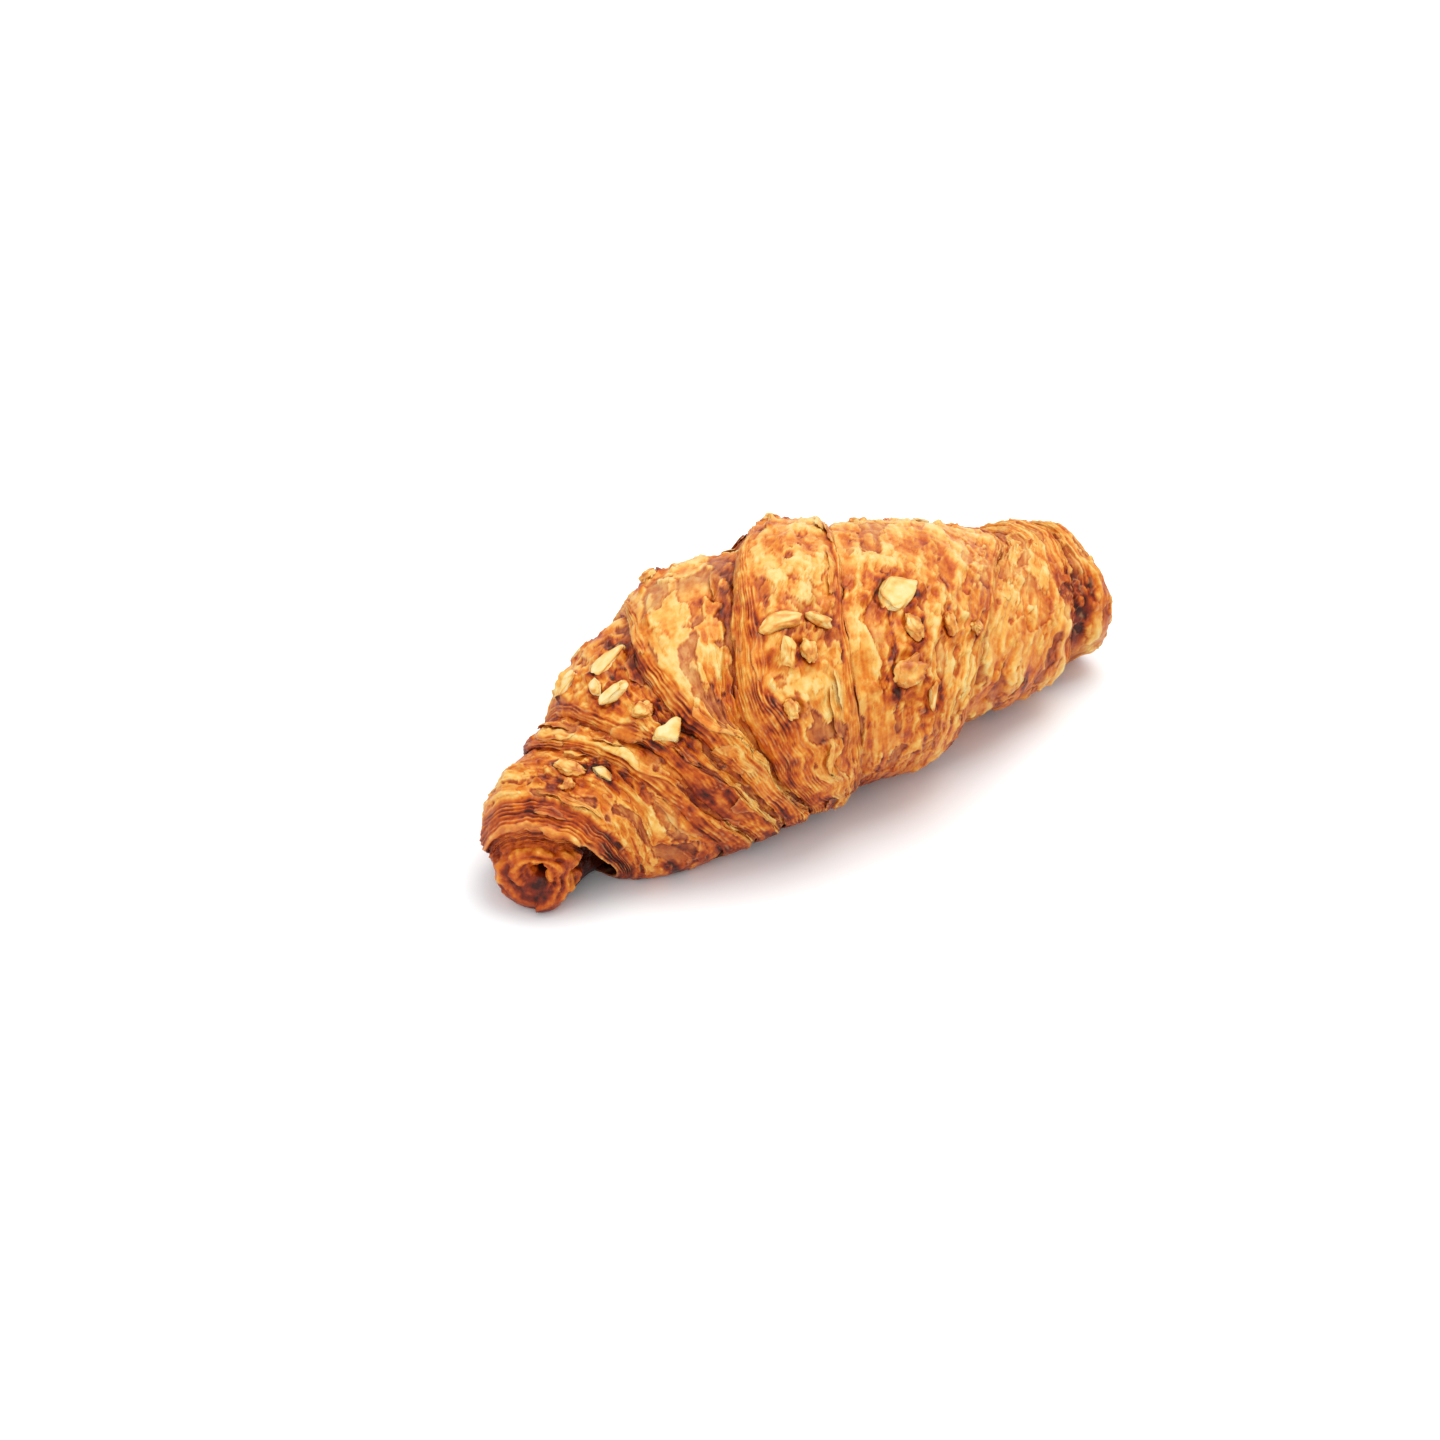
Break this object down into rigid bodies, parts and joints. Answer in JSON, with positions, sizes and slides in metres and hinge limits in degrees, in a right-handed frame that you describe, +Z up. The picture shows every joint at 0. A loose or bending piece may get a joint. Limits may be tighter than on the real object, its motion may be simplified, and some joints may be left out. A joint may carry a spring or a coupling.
{
  "type": "croissant",
  "caption": "Baked croissant: a tapered roll of layered dough on a flat base, one end open round its rolled core and turned aside, with chopped nuts baked onto the crust.",
  "frame": {"origin": "on the ground under the middle of the bounding box", "axes": "+X along the roll to its blunt end, -X to the open end with the core, -Y to the front, +Z up"},
  "size_m": [0.1684, 0.0704, 0.0575],
  "materials": {
    "crust": "baked, egg-glazed pastry crust, satin",
    "nut": "toasted chopped nut, matt"
  },
  "bodies": {
    "root": {"croissant": "crust", "nut_crumb_09": "nut", "nut_crumb_16": "nut", "nut_crumb_19": "nut", "nut_crumb_25": "nut", "nut_flake_01": "nut", "nut_flake_04": "nut", "nut_flake_14": "nut", "nut_flake_22": "nut", "nut_flake_27": "nut", "nut_kernel_02": "nut", "nut_kernel_07": "nut", "nut_kernel_10": "nut", "nut_kernel_15": "nut", "nut_kernel_17": "nut", "nut_kernel_18": "nut", "nut_kernel_21": "nut", "nut_kernel_23": "nut", "nut_kernel_26": "nut", "nut_sliver_03": "nut", "nut_sliver_05": "nut", "nut_sliver_06": "nut", "nut_sliver_08": "nut", "nut_sliver_28": "nut", "nut_stick_11": "nut", "nut_stick_12": "nut", "nut_stick_13": "nut", "nut_stick_20": "nut", "nut_stick_24": "nut"}
  },
  "joints": []
}
